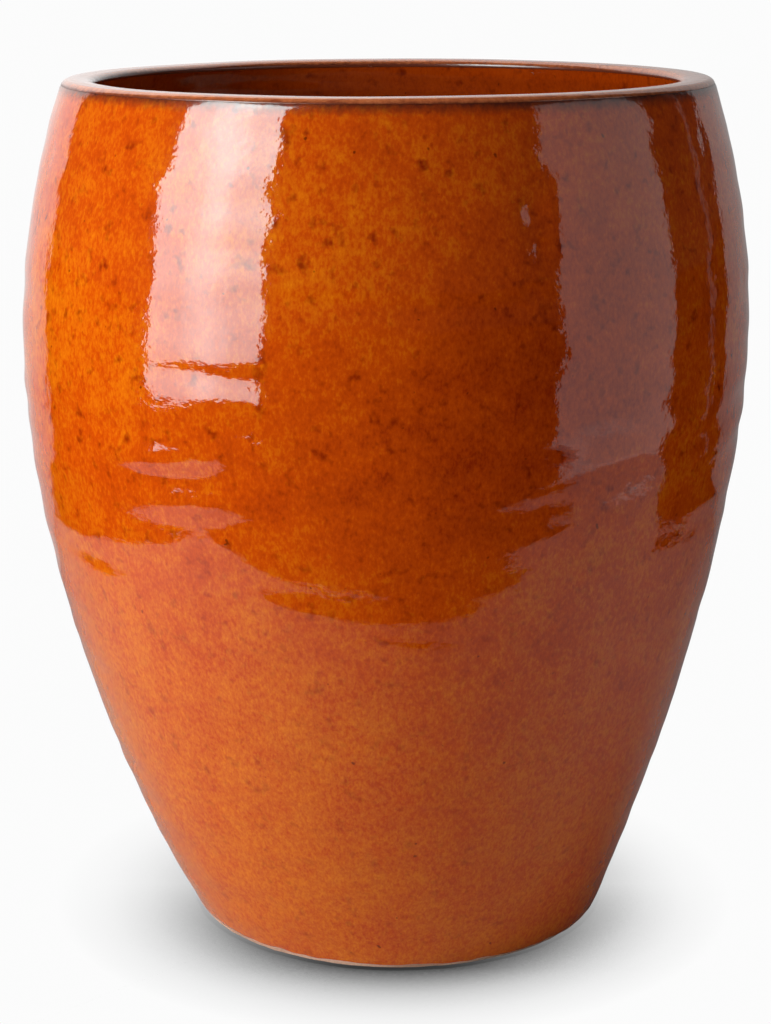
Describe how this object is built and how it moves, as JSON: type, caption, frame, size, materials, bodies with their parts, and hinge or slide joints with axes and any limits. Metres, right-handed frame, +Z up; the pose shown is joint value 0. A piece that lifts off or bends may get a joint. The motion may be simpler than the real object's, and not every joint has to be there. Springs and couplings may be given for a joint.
{
  "type": "planter",
  "caption": "Large round glazed terracotta planter with a high belly, narrow foot, rolled rim and a drain hole in its floor.",
  "frame": {"origin": "centre of the foot, on the surface the pot stands on", "axes": "+Z up along the pot's axis; -Y towards the front of the picture; +X to its right"},
  "size_m": [0.5938, 0.5938, 0.7],
  "materials": {
    "slab_clay": "bare fired clay",
    "lower_clay": "bare fired clay",
    "belly_clay": "bare fired clay",
    "shoulder_clay": "bare fired clay",
    "rim_clay": "bare fired clay",
    "outer_coat": "glossy amber glaze",
    "rim_coat": "glossy amber glaze, thin on the crown",
    "inner_coat": "glossy amber glaze"
  },
  "bodies": {
    "root": {"floor_slab": "slab_clay", "lower_ring": "lower_clay", "belly_ring": "belly_clay", "shoulder_ring": "shoulder_clay", "rim": "rim_clay", "outer_glaze": "outer_coat", "rim_glaze": "rim_coat", "inner_glaze": "inner_coat"}
  },
  "joints": []
}
